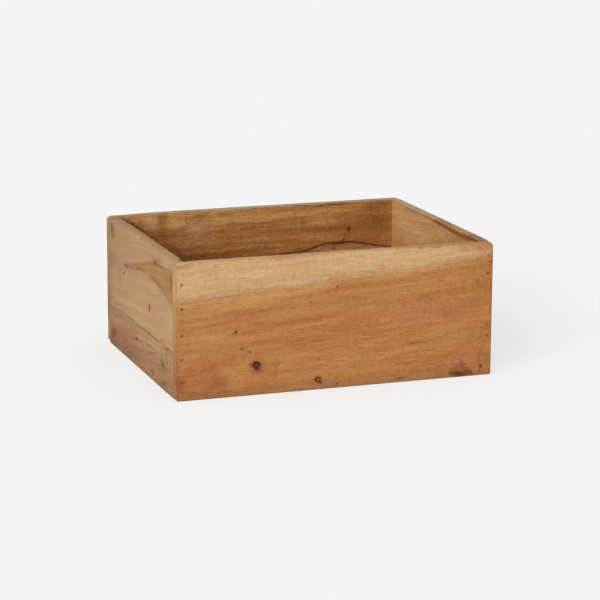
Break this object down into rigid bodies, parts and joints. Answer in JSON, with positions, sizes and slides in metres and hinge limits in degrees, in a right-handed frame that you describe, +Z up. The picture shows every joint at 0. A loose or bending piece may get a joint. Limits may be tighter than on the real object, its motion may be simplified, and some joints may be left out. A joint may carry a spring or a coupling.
{
  "type": "wooden box",
  "caption": "Open rectangular box of nailed solid wood boards, with a flat board bottom, for storing or showing small things.",
  "frame": {"origin": "middle of the underside, on the surface that the box stands on", "axes": "+X to the right along the front board, +Y to the back, +Z up"},
  "size_m": [0.32, 0.25, 0.132],
  "materials": {
    "front_wood": "worn, rubbed with a little wax",
    "back_wood": "worn, rubbed with a little wax",
    "left_wood": "worn, rubbed with a little wax",
    "right_wood": "worn, rubbed with a little wax",
    "bottom_wood": "worn, rubbed with a little wax",
    "nail_steel": "dark, tarnished steel"
  },
  "bodies": {
    "root": {"front_board": "front_wood", "back_board": "back_wood", "left_end_lower_board": "left_wood", "left_end_upper_board": "left_wood", "right_end_lower_board": "right_wood", "right_end_upper_board": "right_wood", "bottom_front_board": "bottom_wood", "bottom_back_board": "bottom_wood", "front_left_nails": "nail_steel", "front_right_nails": "nail_steel", "back_left_nails": "nail_steel", "back_right_nails": "nail_steel", "front_bottom_nails": "nail_steel", "back_bottom_nails": "nail_steel", "left_bottom_nails": "nail_steel", "right_bottom_nails": "nail_steel"}
  },
  "joints": []
}
